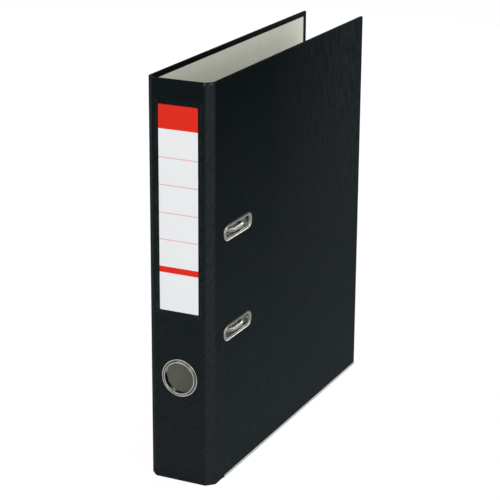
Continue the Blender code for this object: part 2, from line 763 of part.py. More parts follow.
def build_spring(parent):
    """Leaf spring that lies flat under the crank, riveted to the plate at its other end."""
    spring = block(
        (SPRING_LOW, CRANK_REACH - SPRING_WIDTH / 2, LEVER_PIVOT_Z),
        (SPRING_LOW + SPRING_SHEET, CRANK_REACH + SPRING_WIDTH / 2, LEVER_PIVOT_Z + SPRING_LENGTH),
    )
    hole = circle(SPRING_RIVET_RADIUS + HOLE_CLEARANCE, (CRANK_REACH, SPRING_RIVET_Z))
    cut(spring, [along_x(hole, 0.0, SPRING_LOW + SPRING_SHEET + CUT_PAST)])
    place(spring, "opening_spring", nickel(), parent)
    seat = SPRING_LOW + SPRING_SHEET + SEAT_GAP
    rivet = turned(
        [
            (SPRING_RIVET_RADIUS, SEAT_GAP),
            (SPRING_RIVET_RADIUS, seat),
            (SPRING_RIVET_HEAD, seat),
            (SPRING_RIVET_HEAD, seat + SPRING_RIVET_HEAD_HEIGHT / 2),
            (SPRING_RIVET_HEAD / 2, seat + SPRING_RIVET_HEAD_HEIGHT),
        ],
        "x",
    )
    place(rivet, "spring_rivet", nickel(), parent, (0, CRANK_REACH, SPRING_RIVET_Z))


def build_rivets(parent):
    """Rivets with a flat domed head outside the back cover, closed on the base plate."""
    outside = -PANEL - 2 * SEAT_GAP
    inside = PLATE_THICKNESS + SEAT_GAP
    profile = [
        (RIVET_OUTER_HEAD / 2, outside - RIVET_HEAD_HEIGHT),
        (RIVET_OUTER_HEAD, outside - RIVET_HEAD_HEIGHT / 2),
        (RIVET_OUTER_HEAD, outside),
        (RIVET_RADIUS, outside),
        (RIVET_RADIUS, inside),
        (RIVET_INNER_HEAD, inside),
        (RIVET_INNER_HEAD, inside + RIVET_HEAD_HEIGHT / 2),
        (RIVET_INNER_HEAD / 2, inside + RIVET_HEAD_HEIGHT),
    ]
    for number, (y, z) in enumerate(rivet_places(), start=1):
        place(turned(profile, "x"), f"rivet_{number}", nickel(), parent, (0, y, z))


def build_mechanism(back):
    """The lever arch mechanism. x is the height above the back cover's lining, y runs from the shaft
    towards the fore-edge, and z up from the middle of the file."""
    spot = (HINGE_CHAMFER - SHAFT_SETBACK, PANEL + SEAT_GAP, MID_HEIGHT)
    mechanism = frame("mechanism_frame", back, spot, RIGHT_ANGLE)
    build_base_plate(mechanism)
    build_posts(mechanism)
    build_arch_wire(mechanism)
    lever = build_lever(mechanism)
    build_pins_and_roller(mechanism, lever)
    build_spring(mechanism)
    build_rivets(mechanism)


def main():
    clear_scene()
    frames = build_panels()
    rail_start = RAIL_SETBACK - HINGE_CHAMFER
    rail_end = COVER_LENGTH - RAIL_END_INSET
    build_rail("front_edge_rail", frames["front"], rail_start, rail_end)
    build_rail("back_edge_rail", frames["back"], -rail_end, -rail_start)
    build_label(frames["spine"])
    build_finger_ring(frames["spine"])
    build_slot_eyelets(frames["front"])
    build_mechanism(frames["back"])


main()
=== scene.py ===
"""Looks of the lever arch file: its covering, fittings, materials and a plain studio."""

import json
import math

import bmesh
import bpy
from mathutils import Matrix, Vector


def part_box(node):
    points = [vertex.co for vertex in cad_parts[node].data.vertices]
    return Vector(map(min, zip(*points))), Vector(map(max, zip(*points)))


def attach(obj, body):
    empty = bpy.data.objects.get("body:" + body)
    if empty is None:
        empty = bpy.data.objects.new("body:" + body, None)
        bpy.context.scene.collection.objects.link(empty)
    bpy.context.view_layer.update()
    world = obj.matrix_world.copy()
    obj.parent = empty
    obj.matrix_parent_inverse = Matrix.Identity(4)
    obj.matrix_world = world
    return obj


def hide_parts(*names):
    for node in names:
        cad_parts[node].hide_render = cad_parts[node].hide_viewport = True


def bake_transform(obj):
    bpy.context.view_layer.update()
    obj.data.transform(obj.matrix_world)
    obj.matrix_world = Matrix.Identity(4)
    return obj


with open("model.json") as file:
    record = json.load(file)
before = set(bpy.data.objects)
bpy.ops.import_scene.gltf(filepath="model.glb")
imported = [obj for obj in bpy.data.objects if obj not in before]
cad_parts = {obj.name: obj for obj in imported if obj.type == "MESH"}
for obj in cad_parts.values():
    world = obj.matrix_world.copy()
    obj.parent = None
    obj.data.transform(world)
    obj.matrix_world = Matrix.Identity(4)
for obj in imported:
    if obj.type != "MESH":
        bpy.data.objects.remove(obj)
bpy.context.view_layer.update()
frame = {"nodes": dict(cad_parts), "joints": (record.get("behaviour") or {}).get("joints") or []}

# The case, unrolled: u runs along its outer face from the middle of the spine towards the front
# cover, depth runs inwards from the outer face, and z is the height
CASE_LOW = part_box("spine_wrap")[0].z
CASE_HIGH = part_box("spine_wrap")[1].z
SPINE_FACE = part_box("spine_wrap")[0].y
COVER_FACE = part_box("front_cover_wrap")[1].x
FORE_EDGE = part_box("front_cover_wrap")[1].y
PANEL = COVER_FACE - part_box("front_cover_wrap")[0].x
MIDDLE = (CASE_LOW + CASE_HIGH) / 2
CHAMFER = 0.006
SPINE_HALF = COVER_FACE - CHAMFER
STRIP = CHAMFER * math.sqrt(2)
STRIP_MIDDLE = SPINE_HALF + STRIP / 2
CREASES = (SPINE_HALF, SPINE_HALF + STRIP)
COVER_END = SPINE_HALF + STRIP + FORE_EDGE - (SPINE_FACE + CHAMFER)

# The bends at the creases. The stations are places on both sides of a crease, in reaches of the bend
FOLD_ANGLE = math.radians(45)
BEND_RADIUS = 0.0027
BEND_REACH = BEND_RADIUS * math.tan(FOLD_ANGLE / 2)
BEND_STATIONS = (0.0, 0.25, 0.5, 0.75, 1.0, 1.6, 2.2, 2.8)

# Stretches of the case: name, both ends along u, the crease it bends at, and the bodies beside that
STRETCHES = (
    ("back_cover", -COVER_END, -STRIP_MIDDLE, -CREASES[1], "back_hinge", "back_cover"),
    ("back_strip", -STRIP_MIDDLE, 0.0, -CREASES[0], "spine", "back_hinge"),
    ("front_strip", 0.0, STRIP_MIDDLE, CREASES[0], "spine", "front_hinge"),
    ("front_cover", STRIP_MIDDLE, COVER_END, CREASES[1], "front_hinge", "front_cover"),
)
PANELS_REPLACED = {
    "back_cover": ("back_cover",),
    "back_strip": ("back_hinge",),
    "front_strip": ("spine", "front_hinge"),
    "front_cover": ("front_cover",),
}

# Sheets of the case
WRAP_SHEET = 0.00025
EDGE_ROUND = 0.0006
FORE_TURN_IN = 0.0065
END_TURN_IN = 0.0039
LINING_SHEET = 0.00018
LINING_PROUD = 0.00006

# Eyelets. A profile runs from the bore outwards over the face and back: on the ring in metres from
# the bore, on a slot in shares of its flange, each with the depth below the face of the panel
SEAT_GAP = 0.00004
EYELET_SHEET = 0.0005
RING_BORE = 0.0121
RING_HOLE = 0.0125
RING_HEIGHT = (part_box("finger_ring")[0].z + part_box("finger_ring")[1].z) / 2
RING_BACK_FLANGE = 0.0022
RING_PROFILE = (
    (0.0000, 0.0006), (0.0000, -0.0006), (0.00005, -0.0011), (0.00022, -0.00138), (0.0005, -0.0015),
    (0.0008, -0.00142), (0.0010, -0.0012), (0.00112, -0.0009), (0.00122, -0.0005), (0.0014, -0.00028),
    (0.0019, -0.00022), (0.0022, -0.00034), (0.0025, -0.0005), (0.0028, -0.00044), (0.00296, -0.00026),
    (0.0030, -0.00010), (0.0029, -SEAT_GAP), (0.0023, -SEAT_GAP), (0.0004, -SEAT_GAP),
)
SLOT_HALF_LENGTH = 0.020
SLOT_HALF_HEIGHT = 0.0040
SLOT_CORNER = 0.0036
SLOT_HOLE_GROWTH = 0.0007
SLOT_END_FLANGE = 0.0038
SLOT_SIDE_FLANGE = 0.0026
SLOT_BACK_FLANGE = 0.0016
SLOT_PROFILE = (
    (0.00, 0.0000), (0.00, -0.00022), (0.04, -0.00044), (0.11, -0.00058), (0.19, -0.00056),
    (0.26, -0.00040), (0.34, -0.00024), (0.58, -0.00024), (0.66, -0.00042), (0.73, -0.00072),
    (0.80, -0.00087), (0.87, -0.00088), (0.94, -0.00070), (0.98, -0.00042), (1.00, -0.00015),
    (0.99, -SEAT_GAP), (0.90, -SEAT_GAP), (0.25, -SEAT_GAP),
)

# Rails, rivets and the label
RAIL_SHEET = 0.0004
RAIL_ROUND = 0.0005
RIVET_COUNT = 4
RIVET_HOLE = 0.0021
RIVET_SHANK = 0.0019
RIVET_INNER_HEAD = 0.0032
RIVET_DOME = 0.0009
RIVET_GAP = 0.00005
DOME_STEPS = 6
DOME_TIP = 0.0002
CARD_CORNER = 0.0006
FILM = 0.00012
POCKET_CORNER = 0.0016
POCKET_LEAST_CORNER = 0.0004
WELD_FLAT = 0.00018
WELD_RIDGE = 0.00026
WELD_INSET = 0.0014
THUMB_HALF = 0.0095
THUMB_CORNER = 0.004
THUMB_DROP = 0.0096

# Arch wire. The nose lists how far a place is from the tip, and the radius there
HOLE_PITCH = 0.080
WIRE_RADIUS = 0.002
WIRE_BEND = 0.004
ARCH_BEND = 0.011
ARCH_SPAN = 0.029
ARCH_TIP = 0.018
CRANK_REACH = 0.010
CRANK_HIGH = -0.004
CRANK_LOW = -0.025
WIRE_NOSE = ((0.0, 0.0008), (0.0003, 0.0014), (0.0009, 0.0016), (0.0078, 0.0016), (0.0092, WIRE_RADIUS))

# Broken edges of the CAD pieces
BROAD_EDGE = 0.0002
FINE_EDGE = 0.00012

# Modelling: reach of the cutters, tolerances, and the angles in degrees from which an edge is sharp
TOOL_DEPTHS = (-0.01, 0.02)
CLOSE = 1e-6
CUT_CLOSE = 1e-7
SHARP = 40.0
SHARP_ON_FOLDS = 50.0
SHARP_ON_BEADS = 60.0

# Colours of the covering: dark and light of its grain, at the head and at the foot
# Darker at the head and lighter at the foot, with the spine apart from the covers: painted shade and light
COVER_SHADED_TONES = (
    ((0.0018, 0.0032, 0.0038), (0.0036, 0.0056, 0.0064)),
    ((0.0102, 0.0136, 0.0155), (0.0190, 0.0238, 0.0266)),
)
SPINE_SHADED_TONES = (
    ((0.0039, 0.0062, 0.0070), (0.0076, 0.0106, 0.0119)),
    ((0.0096, 0.0128, 0.0144), (0.0178, 0.0222, 0.0244)),
)
# Painted light on the hinge strips, lighter than the covering beside them
STRIP_LIGHT_TONES = ((0.0113, 0.0143, 0.0160), (0.0241, 0.0282, 0.0304))
# Painted sheen towards the fore-edge at the head
PAINTED_SHEEN_TONE = (0.0126, 0.0156, 0.0176)
# Wear along the edges and creases, lighter there as a painted highlight too
WORN_AND_HIGHLIGHT_TONE = (0.045, 0.046, 0.046)
# Painted highlights at the head of the front hinge strip
CREASE_GLINT_TONE = (0.10, 0.102, 0.102)

# Grain and wear of the covering, and where light and shade are painted on it
LINEN_PITCH = 0.0013
# Widths of the wear along the edges and creases, which also carries painted highlights
EDGE_WEAR_AND_HIGHLIGHT = 0.0007
CREASE_WEAR_AND_HIGHLIGHT = 0.0011
# Painted light on the hinge strips: where it is full and where it ends, from the middle of a strip, and
# its ragged edge
STRIP_LIGHT_HALF = (0.0030, 0.0046)
STRIP_LIGHT_FRAY = 0.0003
# Where the painted sheen lies: along the covers towards the fore-edge, and in height towards the head
PAINTED_SHEEN_ALONG = (0.12, 0.27)
PAINTED_SHEEN_HEIGHT = (0.02, 0.18)
# Painted highlights at the head of the front hinge strip: their size, their drop below the head, and their
# places on the strip
CREASE_GLINT_HALF = (0.0003, 0.0008)
CREASE_GLINT_DROP = 0.0010
CREASE_GLINT_STRIP_SHARE = 0.61
CREASE_GLINT_PLACES = (CREASES[0], CREASES[0] + CREASE_GLINT_STRIP_SHARE * STRIP)

# Colours of the other materials
LINING_TONES = ((0.440, 0.450, 0.382), (0.506, 0.514, 0.446))
LINING_FIBRE = (0.55, 0.556, 0.49)
LINING_FLECK = (0.64, 0.645, 0.59)
LINING_SPECK = (0.30, 0.295, 0.25)
BOARD_TONES = ((0.20, 0.185, 0.16), (0.36, 0.335, 0.29))
FILM_TONE = (0.06, 0.063, 0.066)
FILM_HAZE = 0.012
WELD_HAZE = 0.08
WELD_HALF = (0.0003, 0.0006)
NICKEL_TONE = (0.65, 0.655, 0.615)
# The wire's nickel is darker than the other nickel: painted shade
WIRE_SHADED_TONE = (0.22, 0.223, 0.208)
RAIL_TONE = (0.48, 0.49, 0.46)
ROLLER_TONES = ((0.70, 0.69, 0.63), (0.78, 0.77, 0.72))

# How far a point of an eyelet stands proud of its panel, and the colour that its nickel has there, as a
# painted reflection
RING_TONES = (
    (-0.0002, (0.03, 0.03, 0.027)),
    (0.0003, (0.07, 0.07, 0.065)),
    (0.00044, (0.52, 0.525, 0.50)),
    (0.0008, (0.12, 0.122, 0.114)),
    (0.0013, (0.18, 0.184, 0.17)),
    (0.0015, (0.48, 0.485, 0.46)),
)
SLOT_TONES = (
    (-0.0002, (0.50, 0.505, 0.47)),
    (0.0001, (0.26, 0.264, 0.246)),
    (0.0003, (0.20, 0.204, 0.19)),
    (0.0006, (0.30, 0.304, 0.284)),
    (0.0009, (0.24, 0.244, 0.228)),
)
BAND_FRAY = 0.00008

# Painted shade on the upper flange of the slots, in a darker colour and less metal: where it starts and is
# full, above the edge of the hole
FLANGE_SHADE_TONE = (0.018, 0.018, 0.016)
FLANGE_SHADE_START = 0.0008
FLANGE_SHADE_FULL = 0.0012
FLANGE_SHADE_FRAY = 0.0002
FLANGE_SHADE_SHARE = 0.9
FLANGE_SHADE_METAL = 0.3

# Camera and studio. A lamp has a name, a place, a size in metres and a power in watts
CAMERA_PLACE = Vector((0.5934, -1.2628, 0.6103))
CAMERA_AZIMUTH = math.radians(-25.52)
CAMERA_DIP = math.radians(18.38)
CAMERA_ROLL = math.radians(0.36)
CAMERA_LENS = 129.4
CAMERA_SENSOR = 36.0
WHITE = (1.0, 1.0, 1.0)
WORLD_FILL = 0.6
FLOOR_HALF = 4.0
FLOOR_TONE = (0.9, 0.9, 0.9)
FLOOR_GLOW = 1.02
FLOOR_GLOW_SHARE = 0.94
LAMP_AIM = Vector((0, -0.05, 0.16))
LAMPS = (
    ("key", (-0.55, -1.35, 1.25), 1.0, 6.4),
    ("fill", (0.62, -1.30, 0.60), 0.5, 3.6),
    ("side", (1.00, 0.25, 1.25), 1.0, 5.8),
    ("low", (0.95, 0.50, 0.36), 0.65, 3.5),
    ("back", (0.08, 1.50, 0.62), 1.0, 18.5),
)


def rgb(red, green, blue):
    """A colour as it is seen on screen, from 0 to 255, in linear light."""
    shares = [channel / 255 for channel in (red, green, blue)]
    return tuple(((s + 0.055) / 1.055) ** 2.4 if s > 0.04045 else s / 12.92 for s in shares)


# The label's bands and ruled lines, as shares of its height from the top
LABEL_RED = rgb(222, 35, 14)
LABEL_LINE = rgb(226, 110, 100)
LABEL_WHITE = (0.80, 0.815, 0.83)
LABEL_BANDS = ((-0.01, 0.115), (0.782, 0.812))
LABEL_RULES = (0.251, 0.383, 0.518, 0.649)
LABEL_RULE_HALF = 0.0014


def dimmed(colour, share):
    """A colour at a share of its strength."""
    return tuple(share * channel for channel in colour)


class Nodes:
    """A tree of shader nodes."""

    def __init__(self, tree):
        self.tree = tree

    def put(self, socket, value):
        """Links an output to a socket, or sets the socket to a value."""
        if isinstance(value, bpy.types.NodeSocket):
            self.tree.links.new(value, socket)
        elif isinstance(value, tuple) and socket.type == "RGBA":
            socket.default_value = (*value, 1.0)
        else:
            socket.default_value = value

    def node(self, kind, inputs=None, **settings):
        """A new node with its settings and inputs."""
        made = self.tree.nodes.new(kind)
        for key, value in settings.items():
            setattr(made, key, value)
        for key, value in (inputs or {}).items():
            self.put(made.inputs[key], value)
        return made

    def math(self, operation, first, second=0.0):
        """One step of arithmetic."""
        return self.node("ShaderNodeMath", {0: first, 1: second}, operation=operation).outputs[0]

    def add(self, first, second):
        """The sum of two values."""
        return self.math("ADD", first, second)

    def take(self, first, second):
        """The first value less the second."""
        return self.math("SUBTRACT", first, second)

    def times(self, first, second):
        """The product of two values."""
        return self.math("MULTIPLY", first, second)

    def larger(self, first, second):
        """The larger of two values."""
        return self.math("MAXIMUM", first, second)

    def under(self, first, second):
        """1 where the first value is less than the second, and 0 elsewhere."""
        return self.math("LESS_THAN", first, second)

    def apart(self, first, second):
        """How far two values are from each other."""
        return self.math("ABSOLUTE", self.take(first, second))

    def seen(self):
        """1 for what the camera sees, also in a reflection or through a film, and 0 for plain light."""
        ways = self.node("ShaderNodeLightPath").outputs
        direct = self.larger(ways["Is Camera Ray"], ways["Is Glossy Ray"])
        return self.larger(direct, ways["Is Transmission Ray"])


class Paint(Nodes):
    """A material and its nodes."""

    def __init__(self, name):
        self.material = bpy.data.materials.new(name)
        self.material.use_nodes = True
        super().__init__(self.material.node_tree)
        self.shader = self.tree.nodes["Principled BSDF"]

    def set(self, **inputs):
        """Sets or links inputs of the shader."""
        for key, value in inputs.items():
            self.put(self.shader.inputs[key.replace("_", " ")], value)

    def uv(self):
        """The place of a point on the unrolled sheet."""
        return self.node("ShaderNodeUVMap", uv_map="unrolled").outputs[0]

    def place(self):
        """The place of a point in its own object."""
        return self.node("ShaderNodeTexCoord").outputs["Object"]

    def split(self, vector):
        """The three parts of a vector."""
        return self.node("ShaderNodeSeparateXYZ", {0: vector}).outputs

    def noise(self, vector, scale, detail=3.0, roughness=0.55):
        """Noise with a scale, or with three scales along the axes."""
        if isinstance(scale, tuple):
            vector = self.node("ShaderNodeMapping", {"Vector": vector, "Scale": scale}).outputs[0]
            scale = 1.0
        inputs = {"Vector": vector, "Scale": scale, "Detail": detail, "Roughness": roughness}
        return self.node("ShaderNodeTexNoise", inputs).outputs[0]

    def between(self, value, low, high, to_low=0.0, to_high=1.0):
        """A value moved from one range into another, and held inside it."""
        inputs = {"Value": value, "From Min": low, "From Max": high, "To Min": to_low, "To Max": to_high}
        return self.node("ShaderNodeMapRange", inputs).outputs[0]

    def spread(self, noise, to_low, to_high):
        """The range in which most of a noise lies, moved into another."""
        return self.between(noise, 0.3, 0.7, to_low, to_high)

    def mix(self, share, first, second):
        """The first colour, with a share of the second."""
        made = self.node("ShaderNodeMix", data_type="RGBA")
        self.put(made.inputs[0], share)
        self.put(made.inputs[6], first)
        self.put(made.inputs[7], second)
        return made.outputs[2]

    def bump(self, height, distance, strength, normal=None):
        """A fine relief, on top of another where one is given."""
        inputs = {"Height": height, "Distance": distance, "Strength": strength}
        if normal:
            inputs["Normal"] = normal
        return self.node("ShaderNodeBump", inputs).outputs[0]


def linen_grain(paint, u, v):
    """The crossed ribs that are pressed into the covering."""
    turns = 2 * math.pi / LINEN_PITCH
    rise = paint.times(paint.add(u, v), turns)
    fall = paint.times(paint.take(u, v), turns)
    return paint.times(paint.math("SINE", rise), paint.math("SINE", fall))


def covering_tone(paint, uv, linen, grain):
    """Light and dark of the covering: clouds, slanting streaks, the linen and the grain."""
    u, v, _ = paint.split(uv)
    cloud = paint.noise(uv, 35.0, 4.0)
    slant = paint.node("ShaderNodeCombineXYZ", {0: paint.take(u, v), 1: paint.add(u, v)}).outputs[0]
    streak = paint.noise(slant, (420.0, 70.0, 1.0), 2.0)
    tone = paint.add(paint.spread(streak, -0.3, 0.3), paint.between(cloud, 0.0, 1.0, 0.35, 0.65))
    tone = paint.add(tone, paint.times(linen, 0.3))
    return paint.add(tone, paint.spread(grain, -0.5, 0.5))


def covering_base(paint, uv, tone, grain, ripple):
    """Colour of the covering, with painted shade and light: lighter towards the foot, a painted sheen
    towards the fore-edge at the head, and painted light on the hinge strips.
    """
    u, v, _ = paint.split(uv)
    out = paint.math("ABSOLUTE", u)
    # Painted shade and light: darker at the head, lighter at the foot, and the spine apart from the covers
    painted_shade_fall = paint.between(v, CASE_HIGH, CASE_LOW)
    shades = []
    for head, foot in (COVER_SHADED_TONES, SPINE_SHADED_TONES):
        shades.append(paint.mix(painted_shade_fall, paint.mix(tone, *head), paint.mix(tone, *foot)))
    base = paint.mix(paint.under(out, SPINE_HALF), *shades)
    # Painted sheen towards the fore-edge at the head, streaked by the ripple
    painted_sheen = paint.times(paint.between(out, *PAINTED_SHEEN_ALONG), paint.between(v, *PAINTED_SHEEN_HEIGHT))
    painted_sheen = paint.times(painted_sheen, paint.between(ripple, 0.35, 0.65, 0.2, 0.9))
    base = paint.mix(painted_sheen, base, PAINTED_SHEEN_TONE)
    # Painted light on the hinge strips
    beside = paint.add(paint.apart(out, STRIP_MIDDLE), paint.spread(grain, -STRIP_LIGHT_FRAY, STRIP_LIGHT_FRAY))
    return paint.mix(paint.between(beside, *STRIP_LIGHT_HALF, 1.0, 0.0), base, paint.mix(tone, *STRIP_LIGHT_TONES))


def covering_wear_and_highlights(paint, uv):
    """How worn the edges and creases are, with painted highlights along them, and where highlights are
    painted at the head of the front hinge strip.
    """
    u, v, _ = paint.split(uv)
    out = paint.math("ABSOLUTE", u)
    from_end = paint.apart(paint.apart(v, MIDDLE), CASE_HIGH - MIDDLE)
    from_fore = paint.apart(out, COVER_END)
    # Wear along the edges and creases, with painted highlights there
    wear_and_highlight = 0.0
    for away in (from_end, from_fore):
        wear_and_highlight = paint.larger(wear_and_highlight, paint.between(away, 0.0, EDGE_WEAR_AND_HIGHLIGHT, 0.7, 0.0))
    for crease in CREASES:
        wear_and_highlight = paint.larger(wear_and_highlight, paint.between(paint.apart(out, crease), 0.0, CREASE_WEAR_AND_HIGHLIGHT, 0.5, 0.0))
    wear_and_highlight = paint.times(wear_and_highlight, paint.between(paint.noise(uv, 420.0, 4.0), 0.45, 0.7))
    # Painted highlights at the head of the front hinge strip
    at_head = paint.between(paint.apart(v, CASE_HIGH - CREASE_GLINT_DROP), *CREASE_GLINT_HALF, 1.0, 0.0)
    crease_glint = 0.0
    for corner in CREASE_GLINT_PLACES:
        spot = paint.between(paint.apart(u, corner), *CREASE_GLINT_HALF, 1.0, 0.0)
        crease_glint = paint.larger(crease_glint, paint.times(spot, at_head))
    return wear_and_highlight, crease_glint


def black_covering():
    """Black embossed paper: a fine linen grain, a slight ripple in the boards, worn edges with painted
    highlights, and painted shade and light.
    """
    paint = Paint("black_covering")
    uv = paint.uv()
    u, v, _ = paint.split(uv)
    linen = linen_grain(paint, u, v)
    fibre = paint.noise(uv, 2600.0, 2.0)
    grain = paint.noise(uv, 800.0, 2.0)
    ripple = paint.noise(uv, (240.0, 60.0, 1.0))
    wave = paint.noise(uv, (26.0, 9.0, 1.0), 1.0)
    tone = covering_tone(paint, uv, linen, grain)
    base = covering_base(paint, uv, tone, grain, ripple)
    wear_and_highlight, crease_glint = covering_wear_and_highlights(paint, uv)
    # Wear with painted highlights along the edges and creases
    colour = paint.mix(paint.times(wear_and_highlight, 0.5), base, WORN_AND_HIGHLIGHT_TONE)
    # Painted highlights at the head of the front hinge strip
    colour = paint.mix(crease_glint, colour, CREASE_GLINT_TONE)
    normal = paint.bump(ripple, 0.00013, 0.8)
    normal = paint.bump(wave, 0.0006, 0.5, normal)
    normal = paint.bump(paint.add(paint.times(linen, 0.5), fibre), 0.00004, 0.7, normal)
    gloss = paint.spread(fibre, 0.34, 0.44)
    paint.set(Base_Color=colour, Roughness=gloss, Normal=normal, Specular_IOR_Level=0.0005)
    return paint.material


def lining_paper():
    """Grey lining paper with soft upright clouds and specks of fibre."""
    paint = Paint("lining_paper")
    uv = paint.uv()
    cloud = paint.noise(uv, (60.0, 16.0, 1.0))
    fibre = paint.noise(uv, (700.0, 160.0, 1.0))
    speck = paint.between(paint.noise(uv, 330.0, 1.0), 0.68, 0.74)
    fleck = paint.between(paint.noise(uv, (300.0, 160.0, 1.0), 1.0), 0.70, 0.78)
    base = paint.mix(cloud, *LINING_TONES)
    base = paint.mix(paint.spread(fibre, 0.0, 0.5), base, LINING_FIBRE)
    base = paint.mix(paint.times(fleck, 0.6), base, LINING_FLECK)
    colour = paint.mix(paint.times(speck, 0.3), base, LINING_SPECK)
    normal = paint.bump(fibre, 0.00004, 0.5)
    paint.set(Base_Color=colour, Roughness=0.72, Normal=normal, Specular_IOR_Level=0.15)
    return paint.material


def greyboard():
    """Raw board, seen only at the creases and in the cut edges of the holes."""
    paint = Paint("greyboard")
    place = paint.place()
    fibre = paint.noise(place, 900.0, 5.0)
    layers = paint.noise(place, (4000.0, 4000.0, 300.0), 2.0)
    normal = paint.bump(layers, 0.00008, 0.6)
    paint.set(Base_Color=paint.mix(fibre, *BOARD_TONES), Roughness=0.92, Normal=normal)
    paint.set(Specular_IOR_Level=0.2)
    return paint.material


def label_paper():
    """White card with a red head, a red stripe and thin ruled lines."""
    paint = Paint("label_paper")
    low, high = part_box("label_card")
    uv = paint.uv()
    _, height, _ = paint.split(uv)
    share = paint.between(height, high.z, low.z)
    band = 0.0
    for start, end in LABEL_BANDS:
        away = paint.apart(share, (start + end) / 2)
        band = paint.larger(band, paint.under(away, (end - start) / 2))
    rule = 0.0
    for line in LABEL_RULES:
        rule = paint.larger(rule, paint.under(paint.apart(share, line), LABEL_RULE_HALF))
    fibre = paint.noise(uv, 1500.0)
    ink = paint.noise(uv, 220.0, 2.0)
    white = paint.mix(fibre, LABEL_WHITE, dimmed(LABEL_WHITE, 0.97))
    red = paint.mix(ink, LABEL_RED, dimmed(LABEL_RED, 0.93))
    colour = paint.mix(rule, white, LABEL_LINE)
    colour = paint.mix(band, colour, red)
    normal = paint.bump(fibre, 0.00002, 0.4)
    paint.set(Base_Color=colour, Roughness=0.5, Normal=normal, Specular_IOR_Level=0.15)
    return paint.material


def clear_film():
    """Clear film, cloudy along the weld that runs round it."""
    paint = Paint("clear_film")
    place = paint.place()
    x, _, z = paint.split(place)
    low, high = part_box("label_pocket")
    from_side = paint.take(high.x, paint.math("ABSOLUTE", x))
    from_rim = paint.math("MINIMUM", from_side, paint.apart(z, low.z))
    haze = paint.between(paint.apart(from_rim, WELD_INSET), *WELD_HALF, WELD_HAZE, FILM_HAZE)
    pull = paint.noise(place, (120.0, 120.0, 25.0), 2.0)
    normal = paint.bump(pull, 0.0002, 0.4)
    paint.set(Base_Color=FILM_TONE, Roughness=0.3, Normal=normal, Alpha=haze, Specular_IOR_Level=0.05)
    return paint.material


def plated(name, colour, scratches, rough, metal=1.0):
    """Metal plate with fine scratches and a breath of dullness."""
    paint = Paint(name)
    place = paint.place()
    scratch = paint.noise(place, scratches, 5.0, 0.7)
    dull = paint.noise(place, 160.0)
    shade = paint.mix(dull, colour, dimmed(colour, 0.86))
    gloss = paint.spread(dull, rough - 0.04, rough + 0.08)
    normal = paint.bump(scratch, 0.00002, 0.5)
    paint.set(Base_Color=shade, Metallic=metal, Roughness=gloss, Normal=normal)
    return paint.material


def banded_nickel(name, axis, face, outwards, tones):
    """Nickel of an eyelet, with painted reflection: darker as painted shade low in its grooves, and
    brighter as painted highlights where it stands proud.
    """
    paint = Paint(name)
    place = paint.place()
    proud = paint.times(paint.take(paint.split(place)[axis], face), outwards)
    blotch = paint.noise(place, 130.0)
    scratch = paint.noise(place, 600.0, 5.0, 0.7)
    # Painted reflection: dark bands as painted shade in the grooves, bright bands as painted highlights on
    # the beads
    level = paint.add(proud, paint.spread(blotch, -BAND_FRAY, BAND_FRAY))
    shade = tones[0][1]
    for (low, _), (high, colour) in zip(tones, tones[1:]):
        shade = paint.mix(paint.between(level, low, high), shade, colour)
    gloss = paint.spread(blotch, 0.18, 0.32)
    normal = paint.bump(scratch, 0.00002, 0.5)
    paint.set(Base_Color=shade, Metallic=1.0, Roughness=gloss, Normal=normal)
    return paint, shade


def ring_nickel():
    """Nickel of the finger ring."""
    paint, _ = banded_nickel("ring_nickel", 1, SPINE_FACE, -1.0, RING_TONES)
    return paint.material


def slot_nickel():
    """Nickel of the slot eyelets, with painted shade along their upper flange."""
    paint, shade = banded_nickel("slot_nickel", 0, COVER_FACE, 1.0, SLOT_TONES)
    middle = (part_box("slot_eyelet_upper")[1].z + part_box("slot_eyelet_lower")[0].z) / 2
    place = paint.place()
    above = paint.take(paint.split(place)[2], middle)
    rise = paint.take(paint.math("FLOORED_MODULO", above, HOLE_PITCH), HOLE_PITCH / 2)
    rise = paint.add(rise, paint.spread(paint.noise(place, 300.0, 2.0), -FLANGE_SHADE_FRAY, FLANGE_SHADE_FRAY))
    start = SLOT_HALF_HEIGHT + FLANGE_SHADE_START
    full = SLOT_HALF_HEIGHT + FLANGE_SHADE_FULL
    # Painted shade on the upper flange: a darker colour and less metal
    flange_shade = paint.between(rise, start, full, 0.0, FLANGE_SHADE_SHARE)
    bare = paint.between(flange_shade, 0.0, 1.0, 1.0, FLANGE_SHADE_METAL)
    paint.set(Base_Color=paint.mix(flange_shade, shade, FLANGE_SHADE_TONE), Metallic=bare)
    paint.set(Specular_IOR_Level=0.02, Specular_Tint=(0.6, 0.6, 0.6))
    return paint.material


def roller_plastic():
    """Pale plastic of the roller."""
    paint = Paint("roller_plastic")
    place = paint.place()
    fine = paint.noise(place, 1800.0)
    cloud = paint.noise(place, 240.0, 2.0)
    paint.set(Base_Color=paint.mix(cloud, *ROLLER_TONES), Roughness=paint.spread(fine, 0.38, 0.5))
    paint.set(Normal=paint.bump(fine, 0.00002, 0.4))
    return paint.material


def direction(heading):
    """The way along a panel, seen from above."""
    return Vector((math.cos(heading), math.sin(heading)))


def inward(heading):
    """The way into a panel, seen from above."""
    return Vector((-math.sin(heading), math.cos(heading)))


